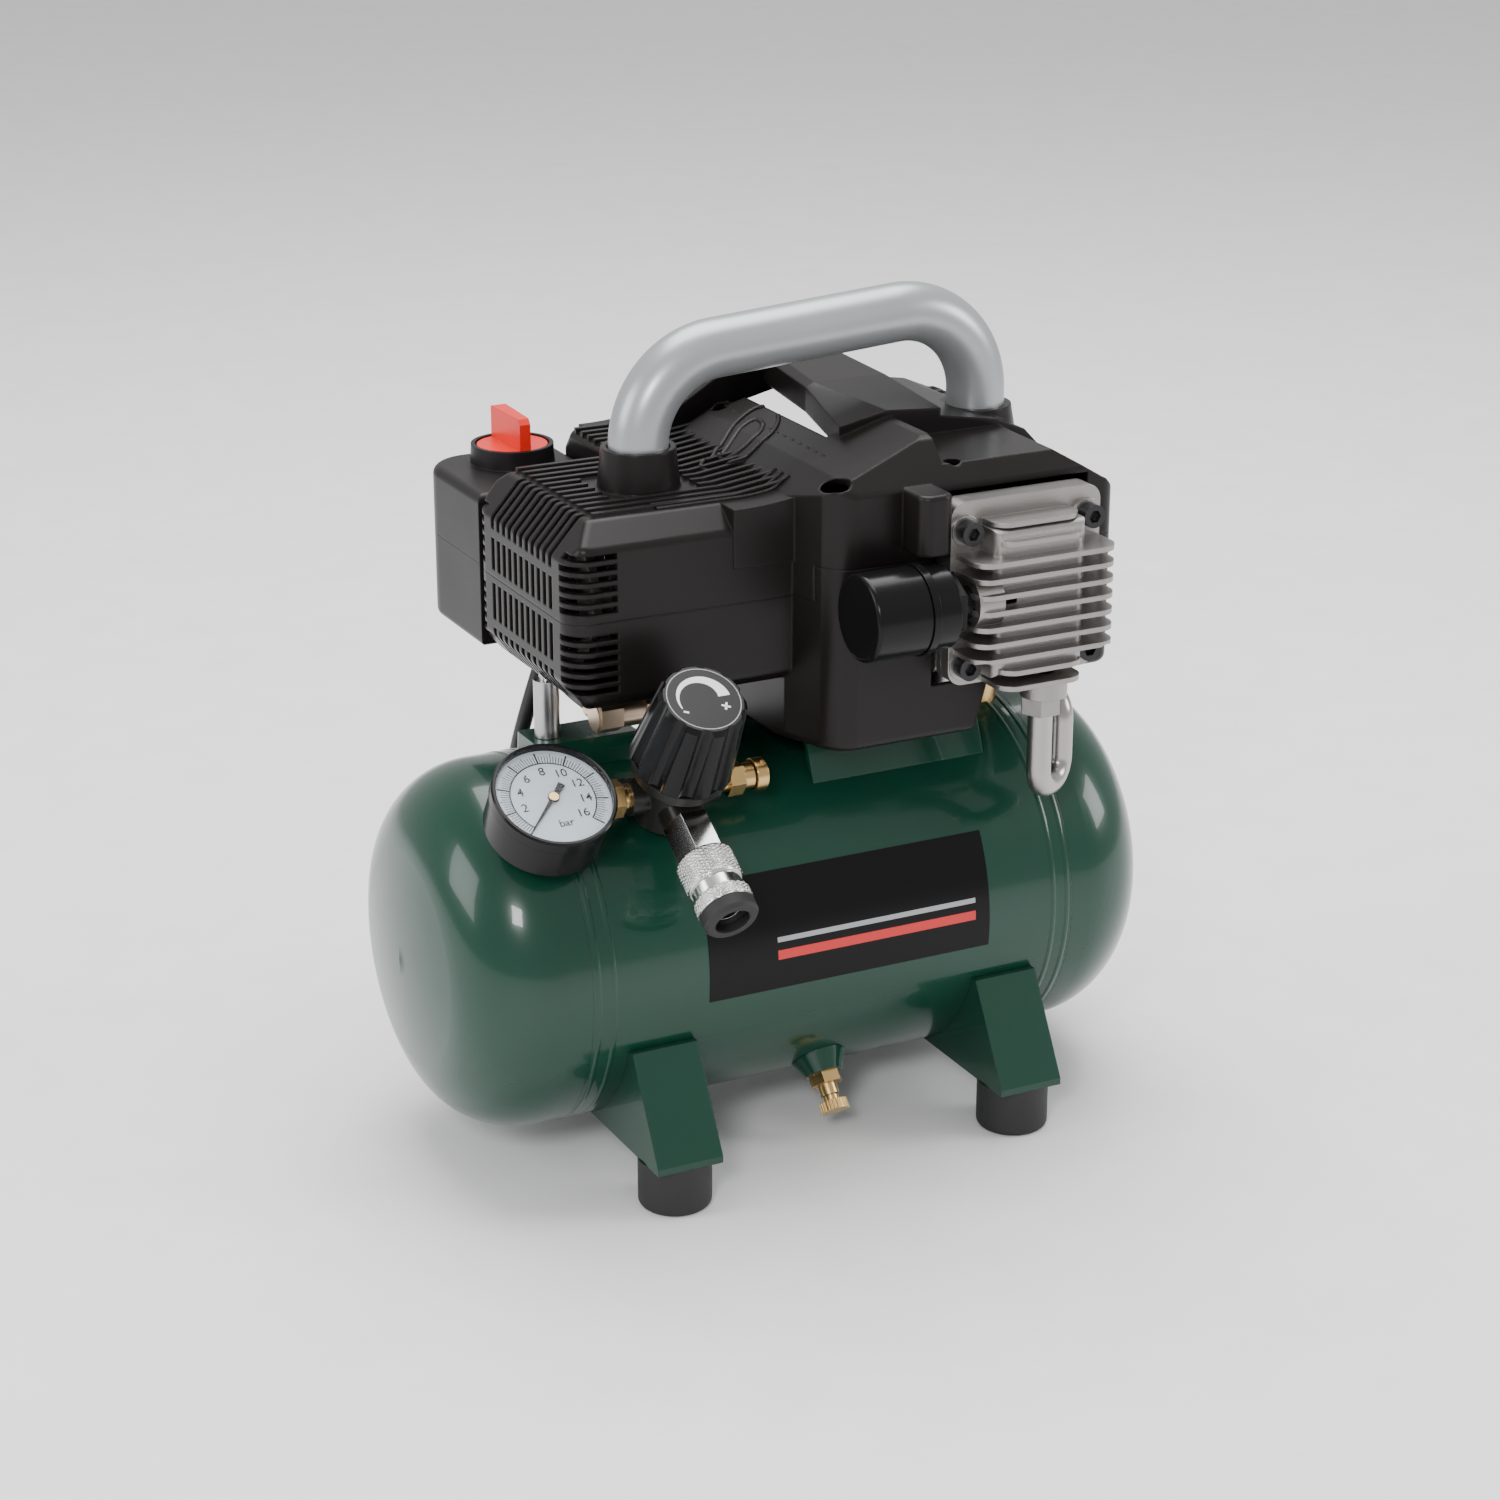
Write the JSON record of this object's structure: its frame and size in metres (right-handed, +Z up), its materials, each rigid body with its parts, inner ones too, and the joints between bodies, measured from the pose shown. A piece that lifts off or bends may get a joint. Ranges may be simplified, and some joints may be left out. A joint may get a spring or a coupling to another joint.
{
  "type": "air compressor",
  "caption": "Portable oil-free air compressor: piston pump and motor under a moulded cowl on a small horizontal tank, with regulator, gauge, quick coupler and carry handle.",
  "frame": {"origin": "centre of the footprint on the floor, under the rubber feet", "axes": "+X along the tank from the motor end to the cylinder end, -Y to the gauge side, +Z up"},
  "size_m": [0.3542, 0.3492, 0.3614],
  "materials": {
    "tank_green": "gloss dark green powder coat",
    "cowl_black": "semi-gloss brown-black moulded plastic",
    "rubber_black": "matt black rubber",
    "steel": "zinc-plated steel",
    "black_steel": "blackened steel",
    "cast_alu": "die-cast aluminium",
    "handle_grey": "silver-grey paint",
    "brass": "machined brass",
    "copper": "copper windings",
    "chrome": "nickel-plated",
    "knob_red": "gloss red plastic",
    "gloss_black": "gloss black plastic",
    "regulator_grey": "dark grey plastic",
    "dial_white": "printed pale dial",
    "needle_black": "black",
    "lens_clear": "clear window",
    "label_black": "printed film",
    "seal_white": "PTFE seal",
    "cord_black": "black rubber lead",
    "pipe_alu": "drawn aluminium tube"
  },
  "bodies": {
    "housing": {"tank_shell": "tank_green", "tank_dome_left": "tank_green", "tank_dome_right": "tank_green", "foot_brackets": "tank_green", "drain_boss": "tank_green", "saddle_plates": "tank_green", "rubber_feet": "rubber_black", "foot_bolts": "steel", "drain_body": "brass", "tank_label": "label_black", "vibration_mounts": "steel", "motor_stator": "steel", "motor_bearings": "steel", "motor_end_shield": "cast_alu", "crankcase": "cast_alu", "cylinder_liner": "cast_alu", "valve_plate": "cast_alu", "reed_valves": "steel", "cylinder_head": "cast_alu", "head_bolts": "black_steel", "discharge_nut": "cast_alu", "discharge_pipe": "pipe_alu", "check_valve": "brass", "filter_cap": "gloss_black", "filter_housing": "gloss_black", "cowl_upper": "cowl_black", "cowl_lower": "cowl_black", "run_capacitor": "steel", "carry_handle": "handle_grey", "switch_box_lower": "cowl_black", "switch_box_upper": "cowl_black", "pressure_switch": "gloss_black", "supply_fitting": "brass", "supply_pipe": "rubber_black", "regulator_body": "regulator_grey", "regulator_ring": "regulator_grey", "gauge_fitting": "brass", "safety_valve_body": "brass", "gauge_case": "gloss_black", "gauge_dial": "dial_white", "gauge_lens": "lens_clear", "coupler_body": "chrome", "power_cord": "cord_black", "strain_relief": "cord_black", "cord_coil": "cord_black", "plug": "cord_black"},
    "crank_train": {"motor_rotor": "steel", "motor_shaft": "steel", "cooling_fan": "gloss_black", "crank_disc": "steel"},
    "piston_set": {"connecting_rod": "cast_alu", "piston": "cast_alu", "piston_seal": "seal_white"},
    "pressure_knob": {"regulator_knob": "gloss_black"},
    "needle": {"gauge_needle": "needle_black"},
    "power_knob": {"switch_knob": "knob_red"},
    "coupler_collar": {"coupler_sleeve": "chrome", "coupler_bumper": "rubber_black"},
    "drain_plug": {"drain_screw": "brass"},
    "relief_pull": {"safety_valve_pull": "brass"}
  },
  "joints": [
    {"name": "crank_spin", "type": "hinge", "parent": "housing", "child": "crank_train", "pos_m": [0, 0.0016, 0.247], "axis": [1, 0, 0], "continuous": true},
    {"name": "piston_stroke", "type": "slide", "parent": "housing", "child": "piston_set", "axis": [0, 1, 0], "range_m": [0, 0.024]},
    {"name": "regulator_turn", "type": "hinge", "parent": "housing", "child": "pressure_knob", "pos_m": [-0.069, -0.07775, 0.20731], "axis": [0, -0.5446, 0.8387], "range_deg": [-720, 720]},
    {"name": "needle_turn", "type": "hinge", "parent": "housing", "child": "needle", "pos_m": [-0.1235, -0.06087, 0.18131], "axis": [0, 0.5446, -0.8387], "range_deg": [0, 270]},
    {"name": "switch_turn", "type": "hinge", "parent": "housing", "child": "power_knob", "pos_m": [-0.072, 0.0966, 0.285], "axis": [0, 0, 1], "range_deg": [0, 90]},
    {"name": "coupler_sleeve_slide", "type": "slide", "parent": "housing", "child": "coupler_collar", "axis": [0, 0.8387, 0.5446], "range_m": [0, 0.004], "stiffness_N_per_m": 1500, "springref_m": -0.001},
    {"name": "drain_turn", "type": "hinge", "parent": "housing", "child": "drain_plug", "pos_m": [0.004, 0.0016, 0.0943], "axis": [0, -0.6561, -0.7547], "range_deg": [0, 720]},
    {"name": "safety_pull", "type": "slide", "parent": "housing", "child": "relief_pull", "axis": [1, 0, 0], "range_m": [0, 0.003], "stiffness_N_per_m": 1500, "springref_m": -0.001}
  ]
}
